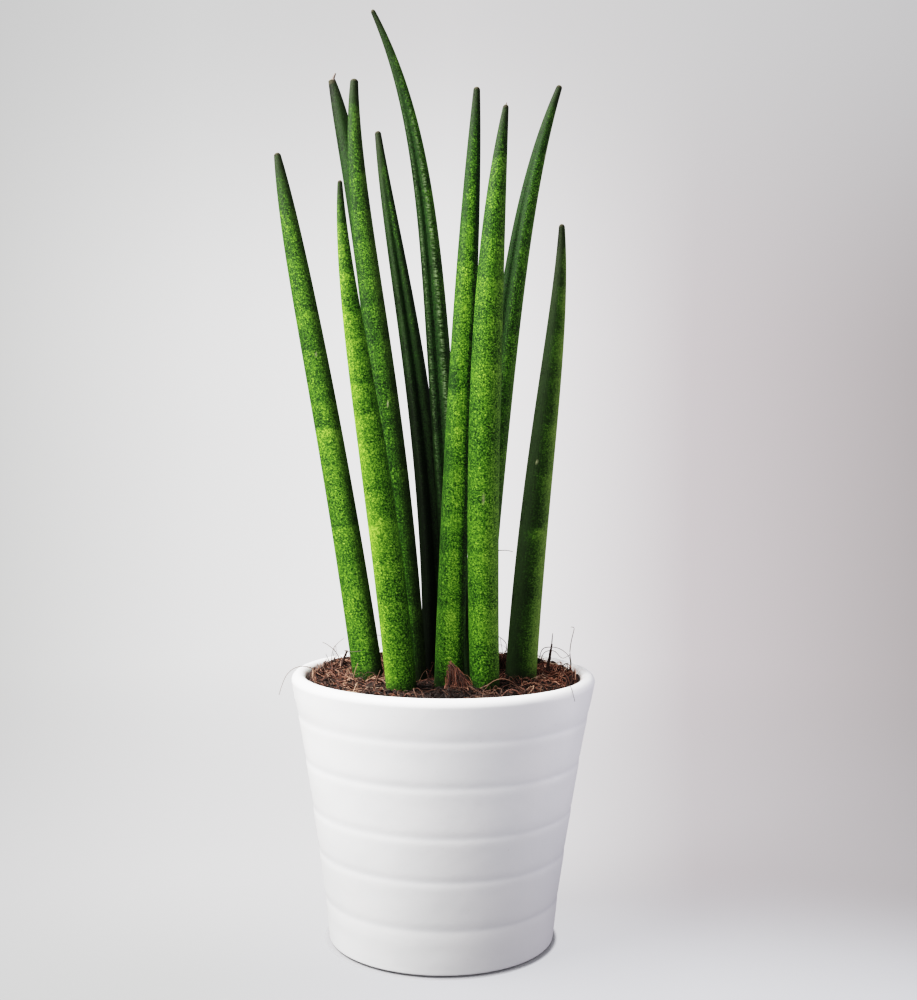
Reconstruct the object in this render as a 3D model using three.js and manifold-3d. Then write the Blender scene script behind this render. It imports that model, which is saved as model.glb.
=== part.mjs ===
// A cylindrical snake plant: ten round, channelled leaves on one rhizome, standing in coco coir
// in a banded white ceramic pot. Millimetres, +Z up, origin at the middle of the pot's flat base.

import * as THREE from "three";
import { mergeVertices, toCreasedNormals } from "three/addons/utils/BufferGeometryUtils.js";
import Module from "manifold-3d";

const wasm = await Module();
wasm.setup();

// ---- Driving dimensions ----

const GAP = 0.35; // air left between two pieces that touch
const CREASE = 0.7; // radians, faces that meet more sharply than this keep an edge

const POT = {
  height: 124,
  baseRadius: 52,
  rimRadius: 70,
  flare: 1.21, // above 1 the wall opens faster towards the rim
  floor: 7,
  innerFloorRadius: 45,
  innerFoot: [47.2, 13], // radius and height where the inner wall's straight run begins
  lip: 3.3, // half the thickness of the full round rim
  baseEdge: 1.6, // rounding where the wall meets the base
  grooves: [21.4, 43.3, 63, 85.4, 105.7], // heights of the thrown grooves
  bandSwell: 0.42, // how far a band stands out at its crest and tucks in at its groove
  sides: 48,
};

const SOIL = {
  level: 119.2, // in the middle and along the front
  bank: 6.5, // how much higher the coir is heaped against the back of the wall
  sides: 36,
};

const LEAF = {
  buried: 28, // length of leaf below the soil
  shoulder: 17, // how deep the leaf begins to narrow to its heel
  heelShare: 0.5, // the heel's thickness, as a share of the leaf's
  tipPoint: 1.6, // length of the dry point beyond the last section
  channelDepth: 0.3, // as a share of the leaf's radius
  channelWidth: 0.36, // radians
  sides: 12,
  steps: 15,
};

// One row for each leaf. foot: where its middle leaves the soil. lean: how far its tip stands from
// its foot. belly: how far it sags sideways halfway up. hook: how far its last stretch bends along X.
// taper: share of the thickness lost evenly, the rest goes near the tip, later with a higher point.
// tip: the radius that is left at the end.
// faces: the way its channel looks, in degrees from +X.
const LEAVES = [
  {
    foot: [-35.1, 8], lean: [-47.2, 14], belly: [2.3, 2], hook: 1.9,
    height: 245, radius: 7.4, taper: 0.35, point: 7.2, tip: 1.7, faces: 20,
  },
  {
    foot: [-18.8, -20], lean: [-34.4, -22], belly: [3.6, -3], hook: 7.4,
    height: 220.5, radius: 6.8, taper: -0.1, point: 2.45, tip: 1.1, faces: 60,
  },
  {
    foot: [-16, 33], lean: [-35.7, 22], belly: [1.5, 0], hook: -5.9,
    height: 288.5, radius: 6.7, taper: 0.4, point: 14, tip: 1.9, faces: -55,
  },
  {
    foot: [-14.6, 7], lean: [-41, 6], belly: [5.4, 2], hook: 11.8,
    height: 277.5, radius: 6.8, taper: 0.12, point: 4, tip: 1.9, faces: 40,
  },
  {
    foot: [-3.2, 24], lean: [-37.5, 24], belly: [8.7, 4], hook: 6.3,
    height: 261.5, radius: 6.85, taper: 0.24, point: 3.3, tip: 1.6, faces: -85,
  },
  {
    foot: [10.15, 8], lean: [-20.5, 4], belly: [-3.2, 6], hook: -24.6,
    height: 309, radius: 6.75, taper: 0.38, point: 4.3, tip: 1.1, faces: -105,
  },
  {
    foot: [2.65, -8], lean: [11, -12], belly: [-1.5, -2], hook: -1.2,
    height: 266, radius: 6.9, taper: 0.4, point: 5, tip: 1.5, faces: 80,
  },
  {
    foot: [18.8, -17], lean: [3.2, -24], belly: [-3.2, -3], hook: 2.4,
    height: 253.3, radius: 6.7, taper: -0.2, point: 4.1, tip: 1.3, faces: 30,
  },
  {
    foot: [14.55, 28], lean: [29.1, 24], belly: [-1.8, 3], hook: 10.9,
    height: 285.8, radius: 7.05, taper: 0.2, point: 4.6, tip: 1.5, faces: -120,
  },
  {
    foot: [35.9, 5], lean: [21.9, -10], belly: [-2.6, 2], hook: -5.8,
    height: 208.8, radius: 7.55, taper: 0.27, point: 3.2, tip: 1.4, faces: 160,
  },
];
const HOOK_POWER = 6; // how late the last stretch bends

const RHIZOME = {
  radius: 5.6,
  depth: 33.9, // of its middle below the soil's level
  swell: 0.12, // how much it thickens at each leaf
  budReach: 4.5, // how far a growing end runs past its last leaf
  sides: 7,
  // The main stem, then its branches: the leaves that each passes under, in order, counted from 0.
  arms: [[0, 3, 6, 7, 9], [3, 1], [3, 4, 8], [4, 2], [6, 5]],
  rootRadius: 1.3,
  rootReach: 13, // sideways
  rootDrop: 48,
  rootLeaves: [0, 1, 2, 4, 6, 7, 8, 9],
};

const FIBRES = {
  count: 54,
  radius: 0.45,
  span: [9, 24],
  rise: [2.2, 7],
  sunk: 2,
  reach: 58, // no fibre's end lies further from the pot's axis
  steps: 4,
  seed: 11,
};

// A tuft of old coir that stands against the middle leaf.
const TUFT = {
  foot: [8, -20.5, 116],
  top: [3.2, -15.8, 131],
  footRadius: 7,
  topRadius: 2.8,
  lumps: 0.14, // how unevenly round it is, as a share of its radius
  sides: 9,
};
const TWIGS = [
  { foot: [-48, 26, 117], top: [-45.5, 25, 130], radius: 0.9 },
  { foot: [49.5, 14, 117], top: [52.5, 13, 134], radius: 0.9 },
];

// ---- Solids and geometries ----

function solidOf(geometry) {
  const bare = geometry.clone();
  bare.deleteAttribute("normal");
  bare.deleteAttribute("uv");
  const merged = mergeVertices(bare, 1e-4);
  return new wasm.Manifold(
    new wasm.Mesh({
      numProp: 3,
      vertProperties: merged.getAttribute("position").array,
      triVerts: new Uint32Array(merged.index.array),
    }),
  );
}

function geometryOf(solid) {
  const mesh = solid.getMesh();
  const geometry = new THREE.BufferGeometry();
  geometry.setAttribute("position", new THREE.BufferAttribute(mesh.vertProperties, 3));
  geometry.setIndex(new THREE.BufferAttribute(mesh.triVerts, 1));
  return geometry;
}

// A closed skin over rings of points, each ring running anticlockwise as seen from the next one.
// first and last are the points that close its two ends.
function skin(rings, first, last) {
  const n = rings[0].length;
  const points = [...rings.flat(), first, last];
  const [firstIndex, lastIndex] = [points.length - 2, points.length - 1];
  const faces = [];
  for (let i = 0; i < rings.length - 1; i++) {
    for (let j = 0; j < n; j++) {
      const [a, b] = [i * n + j, i * n + ((j + 1) % n)];
      faces.push(a, b, b + n, a, b + n, a + n);
    }
  }
  const top = (rings.length - 1) * n;
  for (let j = 0; j < n; j++) {
    const next = (j + 1) % n;
    faces.push(firstIndex, next, j, lastIndex, top + j, top + next);
  }
  return new THREE.BufferGeometry().setFromPoints(points).setIndex(faces);
}

// Sweeps a section along a curve. facing is the direction that angle 0 of the section looks,
// radiusAt(t, angle) its radius, and lead and point how far the near and the far end run out.
function sweep(curve, { places, sides, facing, radiusAt, lead = 0, point = 0 }) {
  const rings = places.map((t) => {
    const middle = curve.getPoint(t);
    const along = curve.getTangent(t);
    const across = new THREE.Vector3().crossVectors(along, facing).normalize();
    const front = new THREE.Vector3().crossVectors(across, along);
    return Array.from({ length: sides }, (_, j) => {
      const angle = (2 * Math.PI * j) / sides;
      const r = radiusAt(t, angle);
      return middle
        .clone()
        .addScaledVector(front, r * Math.cos(angle))
        .addScaledVector(across, r * Math.sin(angle));
    });
  });
  const [start, end] = [places[0], places.at(-1)];
  const first = curve.getPoint(start).addScaledVector(curve.getTangent(start), -lead);
  const last = curve.getPoint(end).addScaledVector(curve.getTangent(end), point);
  return skin(rings, first, last);
}

// A level vector of a given length and heading in radians.
const polar = (length, heading) =>
  new THREE.Vector3(length * Math.cos(heading), length * Math.sin(heading), 0);

const evenly = (steps) => Array.from({ length: steps + 1 }, (_, i) => i / steps);

// Mulberry32: the same numbers on every run.
function randomSource(seed) {
  let state = seed;
  return (low, high) => {
    state = (state + 0x6d2b79f5) | 0;
    let t = Math.imul(state ^ (state >>> 15), 1 | state);
    t = (t + Math.imul(t ^ (t >>> 7), 61 | t)) ^ t;
    return low + ((high - low) * ((t ^ (t >>> 14)) >>> 0)) / 4294967296;
  };
}

// ---- Pot: thrown bands on a flaring wall, a full round rim, a flat base ----

// Each band leans out from the groove at its foot to a crest just under the next groove.
// Pairs: share of the way up the band, share of the swell.
const BAND_SHAPE = [
  [0, -1],
  [0.13, 0.1],
  [0.84, 1],
  [0.92, 0.5],
];

const wallRadius = (z) =>
  POT.baseRadius + (POT.rimRadius - POT.baseRadius) * (z / POT.height) ** POT.flare;

function innerRadius(z) {
  const [footRadius, footZ] = POT.innerFoot;
  const topZ = POT.height - POT.lip;
  const topRadius = POT.rimRadius - 2 * POT.lip;
  return footRadius + ((topRadius - footRadius) * (z - footZ)) / (topZ - footZ);
}

function potGeometry() {
  const { height, lip, baseEdge, floor, innerFoot, innerFloorRadius, grooves, bandSwell } = POT;
  const at = (r, z) => new THREE.Vector2(r, z);
  const profile = [at(0, 0), at(POT.baseRadius - baseEdge, 0)];
  profile.push(at(POT.baseRadius - baseEdge * 0.3, baseEdge * 0.3), at(POT.baseRadius, baseEdge));
  const feet = [0, ...grooves];
  feet.forEach((foot, i) => {
    const top = feet[i + 1] ?? height;
    for (const [share, swell] of BAND_SHAPE) {
      const z = foot + share * (top - foot);
      if (z > baseEdge * 2 && z < height - lip) {
        const firm = i === 0 && share < 0.5 ? 0 : swell; // the lowest band has no groove at its foot
        profile.push(at(wallRadius(z) + firm * bandSwell, z));
      }
    }
  });
  for (let k = 0; k <= 6; k++) {
    const turn = (k / 6) * Math.PI;
    const middle = POT.rimRadius - lip;
    profile.push(at(middle + lip * Math.cos(turn), height - lip + lip * Math.sin(turn)));
  }
  profile.push(at(...innerFoot));
  profile.push(at((innerFoot[0] + innerFloorRadius) / 2 + 0.6, floor + (innerFoot[1] - floor) * 0.25));
  profile.push(at(innerFloorRadius - 2, floor), at(0, floor));
  return new THREE.LatheGeometry(profile, POT.sides).rotateX(Math.PI / 2);
}

// ---- Leaves: round, with one channel, tapering to a short dry point ----

class LeafSpine extends THREE.Curve {
  constructor(leaf) {
    super();
    this.leaf = leaf;
  }
  // t runs from 0 at the soil to 1 at the tip, and below 0 into the soil.
  getPoint(t) {
    const { foot, lean, belly, hook, height } = this.leaf;
    const sag = 4 * t * (1 - t);
    const bend = t > 0 ? hook * t ** HOOK_POWER : 0;
    return new THREE.Vector3(
      foot[0] + lean[0] * t + belly[0] * sag + bend,
      foot[1] + lean[1] * t + belly[1] * sag,
      SOIL.level + height * t,
    );
  }
  getTangent(t) {
    const step = 1e-3;
    return this.getPoint(t + step).sub(this.getPoint(t - step)).normalize();
  }
}

function leafRadius(leaf, t) {
  const { shoulder, buried, heelShare } = LEAF;
  if (t < 0) {
    const narrowed = THREE.MathUtils.smoothstep(-t * leaf.height, shoulder, buried);
    return leaf.radius * THREE.MathUtils.lerp(1, heelShare, narrowed);
  }
  const lost = leaf.taper * t + (1 - leaf.taper) * t ** leaf.point;
  return leaf.tip + (leaf.radius - leaf.tip) * (1 - lost);
}

// The channel is deepest low down, and fades out before the tip.
function channelAt(t, angle) {
  const turn = Math.abs(angle > Math.PI ? angle - 2 * Math.PI : angle);
  const fade = Math.min(1, Math.max(0, (0.97 - t) * 4));
  return LEAF.channelDepth * fade * Math.exp(-((turn / LEAF.channelWidth) ** 2));
}

const leafFacing = (leaf) => polar(1, THREE.MathUtils.degToRad(leaf.faces));

// Places along a leaf, given as depths below the soil's level.
const atDepths = (leaf, depths) => depths.map((depth) => -depth / leaf.height);
const HEEL_DEPTHS = [LEAF.buried, (LEAF.buried + LEAF.shoulder) / 2, LEAF.shoulder];

function leafGeometry(leaf) {
  const rising = evenly(LEAF.steps).map((u) => 1 - (1 - u) ** 1.5);
  return sweep(new LeafSpine(leaf), {
    places: [...atDepths(leaf, HEEL_DEPTHS), ...rising],
    sides: LEAF.sides,
    facing: leafFacing(leaf),
    radiusAt: (t, angle) => leafRadius(leaf, t) * (1 - channelAt(t, angle)),
    point: LEAF.tipPoint,
  });
}

// The hole that a leaf stands in: its buried end, run on into the rhizome's own hollow, and the
// stretch above that the tuft and the fibres reach, all wider by the gap.
function leafHole(leaf) {
  return solidOf(
    sweep(new LeafSpine(leaf), {
      places: atDepths(leaf, [LEAF.buried + 2, ...HEEL_DEPTHS, 0, -40]),
      sides: LEAF.sides,
      facing: leafFacing(leaf),
      radiusAt: (t, angle) => leafRadius(leaf, t) * (1 - channelAt(t, angle)) + GAP,
    }),
  );
}

// ---- Rhizome: the knuckled underground stem that the leaves rise from, with its stout roots ----

function underLeaf(index) {
  const leaf = LEAVES[index];
  const spine = new LeafSpine(leaf);
  return spine.getPoint(-LEAF.buried / leaf.height).setZ(SOIL.level - RHIZOME.depth);
}

// The end of an arm: a bud that runs on past its last leaf, away from the leaf before it.
const budPast = (last, before) =>
  last.clone().add(last.clone().sub(before).setLength(RHIZOME.budReach));

function rhizomeSolid(grow) {
  const { radius, swell, sides, arms, rootRadius, rootReach, rootDrop, rootLeaves } = RHIZOME;
  const up = new THREE.Vector3(0, 0, 1);
  const stems = arms.map((arm) => {
    const knuckles = arm.map(underLeaf);
    const ends = [budPast(knuckles[0], knuckles[1]), budPast(knuckles.at(-1), knuckles.at(-2))];
    const curve = new THREE.CatmullRomCurve3([ends[0], ...knuckles, ends[1]]);
    const spans = knuckles.length + 1;
    return sweep(curve, {
      places: evenly(spans * 2),
      sides,
      facing: up,
      radiusAt: (t) => {
        const atEnd = t === 0 || t === 1 ? 0.7 : 1;
        return radius * atEnd * (1 - swell + swell * Math.cos(2 * Math.PI * t * spans)) + grow;
      },
      lead: 2 + grow,
      point: 2 + grow,
    });
  });
  const roots = rootLeaves.map((index, i) => {
    const start = underLeaf(index);
    const away = start.clone().setZ(0).normalize();
    away.applyAxisAngle(up, 0.5 * Math.sin(i * 2.4));
    const end = start.clone().addScaledVector(away, rootReach / 2).setZ(start.z - rootDrop);
    const knee = start.clone().addScaledVector(away, rootReach).setZ(start.z - rootDrop / 3);
    return sweep(new THREE.QuadraticBezierCurve3(start, knee, end), {
      places: evenly(3),
      sides: 4,
      facing: away,
      radiusAt: (t) => rootRadius * (1 - 0.4 * t) + grow,
      point: 1 + grow,
    });
  });
  return wasm.Manifold.union([...stems, ...roots].map(solidOf));
}

// ---- Soil: coco coir that fills the pot, with loose fibres, a tuft and twigs on top ----

// Level in the middle, banked up towards the wall at the back, with low uneven heaps.
function soilTop(x, y) {
  const edge = innerRadius(SOIL.level);
  const banked = SOIL.bank * (Math.hypot(x, y) / edge) ** 2 * (0.5 + (0.5 * y) / edge);
  const heaps = 0.8 * Math.sin(0.21 * x + 1.3) * Math.cos(0.17 * y);
  const lumps = 0.45 * Math.sin(0.52 * x - 0.43 * y + 0.6);
  return SOIL.level + banked + heaps + lumps;
}

function soilBody() {
  const circle = (radius, heightAt) =>
    Array.from({ length: SOIL.sides }, (_, j) => {
      const point = polar(radius, (2 * Math.PI * j) / SOIL.sides);
      return point.setZ(heightAt(point.x, point.y));
    });
  const bottom = POT.floor + GAP;
  const [footRadius, footZ] = POT.innerFoot;
  const edge = innerRadius(SOIL.level) - GAP;
  const inward = [1, 0.82, 0.64, 0.44, 0.22];
  const rings = [
    circle(POT.innerFloorRadius - 3.5, () => bottom),
    circle(footRadius - GAP, () => footZ),
    ...inward.map((share) => circle(edge * share, soilTop)),
  ];
  const last = new THREE.Vector3(0, 0, soilTop(0, 0));
  return solidOf(skin(rings, new THREE.Vector3(0, 0, bottom), last));
}

function fibreSolids() {
  const random = randomSource(FIBRES.seed);
  return Array.from({ length: FIBRES.count }, () => {
    const start = polar(FIBRES.reach * Math.sqrt(random(0.04, 1)), random(0, 2 * Math.PI));
    const heading = random(0, 2 * Math.PI);
    const stop = start.clone().add(polar(random(...FIBRES.span), heading));
    const [near, far] = [start, stop].map((end) => {
      const { x, y } = end.clampLength(0, FIBRES.reach);
      return new THREE.Vector3(x, y, soilTop(x, y) - FIBRES.sunk);
    });
    const crest = near.clone().lerp(far, random(0.3, 0.7));
    crest.z += FIBRES.sunk + 2 * random(...FIBRES.rise);
    const shape = {
      places: evenly(FIBRES.steps),
      sides: 3,
      facing: polar(1, heading + Math.PI / 2),
      radiusAt: () => FIBRES.radius,
    };
    return solidOf(sweep(new THREE.QuadraticBezierCurve3(near, crest, far), shape));
  });
}

function tuftSolid() {
  const curve = new THREE.LineCurve3(new THREE.Vector3(...TUFT.foot), new THREE.Vector3(...TUFT.top));
  return solidOf(
    sweep(curve, {
      places: evenly(5),
      sides: TUFT.sides,
      facing: new THREE.Vector3(1, 0, 0),
      radiusAt: (t, angle) => {
        const size = THREE.MathUtils.lerp(TUFT.footRadius, TUFT.topRadius, t);
        return size * (1 + TUFT.lumps * Math.sin(3 * angle + 9 * t));
      },
      point: 2,
    }),
  );
}

function twigSolid({ foot, top, radius }) {
  const curve = new THREE.LineCurve3(new THREE.Vector3(...foot), new THREE.Vector3(...top));
  const facing = new THREE.Vector3(0, 1, 0);
  const radiusAt = (t) => radius * (1.2 - 0.8 * t);
  return solidOf(sweep(curve, { places: [0, 0.5, 1], sides: 5, facing, radiusAt, point: 1 }));
}

// Loose ends that a leaf's hole cuts off are dropped: the soil is its largest body.
function largestBody(solid) {
  return solid.decompose().reduce((best, body) => (body.volume() > best.volume() ? body : best));
}

function soilSolid() {
  const heap = wasm.Manifold.union([
    soilBody(),
    tuftSolid(),
    ...TWIGS.map(twigSolid),
    ...fibreSolids(),
  ]);
  const holes = wasm.Manifold.union([...LEAVES.map(leafHole), rhizomeSolid(GAP)]);
  return largestBody(heap.subtract(holes));
}

// ---- The plant ----

const MATERIALS = {
  glaze: new THREE.MeshStandardMaterial({ color: 0xe9e8ea, roughness: 0.45, metalness: 0 }),
  coir: new THREE.MeshStandardMaterial({ color: 0x6b3f2b, roughness: 0.95, metalness: 0 }),
  leaf: new THREE.MeshStandardMaterial({ color: 0x4c8a2b, roughness: 0.45, metalness: 0 }),
  rhizome: new THREE.MeshStandardMaterial({ color: 0xc98a4b, roughness: 0.7, metalness: 0 }),
};

const plant = new THREE.Group();
plant.name = "cylindrical_snake_plant";

function addPiece(name, geometry, material) {
  const mesh = new THREE.Mesh(toCreasedNormals(geometry, CREASE), material);
  mesh.name = name;
  plant.add(mesh);
}

addPiece("pot", potGeometry(), MATERIALS.glaze);
addPiece("coir_soil", geometryOf(soilSolid()), MATERIALS.coir);
addPiece("rhizome", geometryOf(rhizomeSolid(0)), MATERIALS.rhizome);
LEAVES.forEach((leaf, i) => {
  addPiece(`leaf_${String(i + 1).padStart(2, "0")}`, leafGeometry(leaf), MATERIALS.leaf);
});

export default plant;
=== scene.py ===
import itertools
import math

import bpy
import numpy as np
from mathutils import Matrix, Vector


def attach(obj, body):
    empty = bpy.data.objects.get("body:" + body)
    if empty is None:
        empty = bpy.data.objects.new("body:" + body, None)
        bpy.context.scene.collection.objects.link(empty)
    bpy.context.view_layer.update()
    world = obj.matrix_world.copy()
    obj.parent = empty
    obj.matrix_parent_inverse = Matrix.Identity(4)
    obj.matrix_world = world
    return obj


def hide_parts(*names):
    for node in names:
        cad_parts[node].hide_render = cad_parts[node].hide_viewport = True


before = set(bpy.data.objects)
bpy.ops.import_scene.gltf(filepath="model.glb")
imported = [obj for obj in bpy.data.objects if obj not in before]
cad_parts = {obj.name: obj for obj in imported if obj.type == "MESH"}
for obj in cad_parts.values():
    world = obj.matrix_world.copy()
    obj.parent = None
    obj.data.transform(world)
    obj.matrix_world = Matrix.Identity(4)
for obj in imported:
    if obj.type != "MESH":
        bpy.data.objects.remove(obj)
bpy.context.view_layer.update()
scene = bpy.context.scene
mm = 0.001
print("frame loaded, nodes:", len(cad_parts))


# ---- camera, studio light and floor

cameraSetup = {"place": (0.0, -0.6183, 0.2326), "down": 0.047, "aside": 0.0101,
               "roll": 0.009, "lens": 48.26}

camera = bpy.data.objects.new("camera", bpy.data.cameras.new("camera"))
camera.data.lens = cameraSetup["lens"]
camera.data.sensor_width = 36
turned = (Matrix.Rotation(-cameraSetup["aside"], 4, "Z")
          @ Matrix.Rotation(math.pi / 2 - cameraSetup["down"], 4, "X")
          @ Matrix.Rotation(cameraSetup["roll"], 4, "Z"))
camera.matrix_world = Matrix.Translation(cameraSetup["place"]) @ turned
scene.collection.objects.link(camera)
scene.camera = camera

scene.view_settings.view_transform = "Filmic"
scene.view_settings.look = "High Contrast"


def addNode(tree, kind, inputs=None, **settings):
    # one node: settings are its own options, inputs are values or the sockets that feed it
    node = tree.nodes.new("ShaderNode" + kind)
    for key, value in settings.items():
        setattr(node, key, value)
    for key, value in (inputs or {}).items():
        if isinstance(value, bpy.types.NodeSocket):
            tree.links.new(value, node.inputs[key])
        else:
            node.inputs[key].default_value = value
    return node


def maths(tree, operation, first, second=0.0, third=None, clamp=False):
    values = {0: first, 1: second}
    if third is not None:
        values[2] = third
    return addNode(tree, "Math", values, operation=operation, use_clamp=clamp).outputs[0]


def times(tree, first, second, more=None):
    # first times second, plus more
    return maths(tree, "MULTIPLY" if more is None else "MULTIPLY_ADD", first, second, more)


def blend(tree, share, under, over, mode="MIX"):
    # a colour is a socket or three numbers
    under, over = ((*colour, 1) if isinstance(colour, tuple) else colour for colour in (under, over))
    node = addNode(tree, "Mix", {0: share, 6: under, 7: over}, data_type="RGBA", blend_type=mode)
    return node.outputs[2]


def ease(tree, value, low, high, bottom=0.0, top=1.0):
    # smooth step from bottom to top while value goes from low to high
    return addNode(tree, "MapRange",
                   {"Value": value, "From Min": low, "From Max": high, "To Min": bottom, "To Max": top},
                   interpolation_type="SMOOTHSTEP").outputs["Result"]


def noiseOn(tree, vector, scale, detail=2.0, roughness=0.5, distortion=0.0):
    return addNode(tree, "TexNoise",
                   {"Vector": vector, "Scale": scale, "Detail": detail,
                    "Roughness": roughness, "Distortion": distortion}).outputs["Fac"]


def objectCoords(tree, scale=(1, 1, 1)):
    coords = addNode(tree, "TexCoord").outputs["Object"]
    if scale == (1, 1, 1):
        return coords
    return addNode(tree, "Mapping", {"Vector": coords, "Scale": scale}).outputs["Vector"]


def ramp(tree, value, stops):
    # stops are pairs of place and colour
    node = addNode(tree, "ValToRGB", {0: value})
    elements = node.color_ramp.elements
    while len(elements) < len(stops):
        elements.new(0.5)
    for element, (place, colour) in zip(elements, stops):
        element.position = place
        element.color = (*colour, 1)
    return node.outputs["Color"]


def markOf(tree, name):
    return addNode(tree, "Attribute", attribute_name=name).outputs["Fac"]


def startFinish(name, rough=0.5, shine=0.5):
    finish = bpy.data.materials.new(name)
    finish.use_nodes = True
    shader = finish.node_tree.nodes["Principled BSDF"]
    shader.inputs["Roughness"].default_value = rough
    shader.inputs["Specular IOR Level"].default_value = shine
    return finish, finish.node_tree, shader


def addBump(tree, shader, height, distance, strength=1.0):
    bump = addNode(tree, "Bump", {"Height": height, "Distance": distance, "Strength": strength})
    tree.links.new(bump.outputs["Normal"], shader.inputs["Normal"])


def table(columns, **rows):
    # rows of values, each as a dictionary under the columns' names
    return {name: dict(zip(columns.split(), row)) for name, row in rows.items()}


studio = {
    # painted light and shade behind the plant, as the camera sees it: five colours from left to right, at
    # three heights
    "walls": {
        "high": ((0.6, 0.6, 0.6), (0.8, 0.8, 0.8), (0.85, 0.83, 0.84), (0.72, 0.71, 0.72),
                 (0.58, 0.57, 0.585)),
        "middle": ((0.69, 0.69, 0.68), (1.24, 1.23, 1.23), (1.62, 1.6, 1.61), (0.73, 0.66, 0.685),
                   (0.4, 0.37, 0.375)),
        "low": ((0.72, 0.73, 0.71), (0.88, 0.89, 0.87), (1.1, 1.11, 1.19), (1.2, 1.21, 1.3),
                (1.06, 1.08, 1.18)),
    },
    "wide": 0.72, "lowToMiddle": (-0.385, -0.3), "middleToHigh": (0.04, 0.32),
    # the rest of the room, seen from the other sides
    "elsewhere": (0.8, 0.79, 0.795), "elsewhereToWall": (0.5, 0.84),
    # the air's own light on the plant, and the share of it that comes from below
    "airLeft": (0.26, 0.265, 0.27), "airRight": (0.3, 0.29, 0.35), "airTurn": (-0.8, 0.8),
    "belowLeft": 0.02, "belowRight": 1.05, "belowToAbove": (-0.2, 0.15),
    # degrees to the right of the front and up, distance, size and watts of each lamp
    "lamps": table("aside up far size power tint aim",
        windowLight=(-72, 46, 0.86, 0.74, 57, (1.0, 0.985, 0.955), (0, 0, 0.2)),
        frontLight=(2, 38, 1.2, 1.0, 8.5, (1.0, 0.99, 0.985), (0, 0, 0.2)),
        bounceCard=(98, 2, 0.75, 0.55, 3.1, (0.95, 0.92, 1.0), (0, 0, 0.07))),
}

world = bpy.data.worlds.new("paleRoom")
world.use_nodes = True
scene.world = world
tree = world.node_tree
outward = addNode(tree, "TexCoord").outputs["Generated"]
toRight, toBack, toTop = addNode(tree, "SeparateXYZ", {"Vector": outward}).outputs
airShare = ease(tree, toRight, *studio["airTurn"])
wallShare = maths(tree, "MULTIPLY_ADD", toRight, 1 / studio["wide"], 0.5, clamp=True)
wall = {height: ramp(tree, wallShare, [(i / 4, colour) for i, colour in enumerate(colours)])
        for height, colours in studio["walls"].items()}
wallColour = blend(tree, ease(tree, toTop, *studio["lowToMiddle"]), wall["low"], wall["middle"])
wallColour = blend(tree, ease(tree, toTop, *studio["middleToHigh"]), wallColour, wall["high"])
wallColour = blend(tree, ease(tree, toBack, *studio["elsewhereToWall"]), studio["elsewhere"], wallColour)
airColour = blend(tree, airShare, studio["airLeft"], studio["airRight"])
airBelow = times(tree, airShare, studio["belowRight"] - studio["belowLeft"], studio["belowLeft"])
airColour = blend(tree, 1.0, airColour,
                  ease(tree, toTop, *studio["belowToAbove"], airBelow, 1.0), "MULTIPLY")
seen = addNode(tree, "LightPath").outputs["Is Camera Ray"]
roomColour = blend(tree, seen, airColour, wallColour)
tree.links.new(roomColour, tree.nodes["Background"].inputs["Color"])


def addLamp(name, lamp):
    # a square soft lamp on a circle round the plant, turned to the aim
    aside, up = math.radians(lamp["aside"]), math.radians(lamp["up"])
    away = Vector((math.sin(aside) * math.cos(up), -math.cos(aside) * math.cos(up), math.sin(up)))
    data = bpy.data.lights.new(name, "AREA")
    data.shape = "SQUARE"
    data.size = lamp["size"]
    data.energy = lamp["power"]
    data.color = lamp["tint"]
    holder = bpy.data.objects.new(name, data)
    holder.location = Vector(lamp["aim"]) + away * lamp["far"]
    holder.rotation_euler = (-away).to_track_quat("-Z", "Y").to_euler()
    holder.visible_camera = False
    scene.collection.objects.link(holder)


for name, lamp in studio["lamps"].items():
    addLamp(name, lamp)

# the floor shows through to the wall behind it: most solid up to the pot's edge, fading far out
ground = {
    "reach": 0.95, "corners": 96, "sunk": 0.0002, "colour": (0.2, 0.2, 0.21), "rough": 0.9,
    "shine": 0.07, "potEdge": (0.0525, 0.0547), "underPot": 0.95, "roundPot": 0.36, "fading": (0.2, 0.85),
}

floorTurns = np.linspace(0, 2 * np.pi, ground["corners"], endpoint=False)
floorRing = np.stack([np.cos(floorTurns), np.sin(floorTurns), 0 * floorTurns], axis=1) * ground["reach"]
floorMesh = bpy.data.meshes.new("paleFloor")
corners = list(range(ground["corners"]))
floorMesh.from_pydata((floorRing - (0, 0, ground["sunk"])).tolist(), [], [corners])
floor = bpy.data.objects.new("paleFloor", floorMesh)
scene.collection.objects.link(floor)
paper, tree, shader = startFinish("palePaper", ground["rough"], ground["shine"])
shader.inputs["Base Color"].default_value = (*ground["colour"], 1)
fromMiddle = addNode(tree, "VectorMath", {0: objectCoords(tree)}, operation="LENGTH").outputs["Value"]
nearShare = ease(tree, fromMiddle, *ground["potEdge"], ground["underPot"], ground["roundPot"])
farShare = ease(tree, fromMiddle, *ground["fading"], 1.0, 0.0)
tree.links.new(times(tree, nearShare, farShare), shader.inputs["Alpha"])
floorMesh.materials.append(paper)
print("camera, light and floor set")


# ---- shapes: closed tubes from arrays

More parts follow.
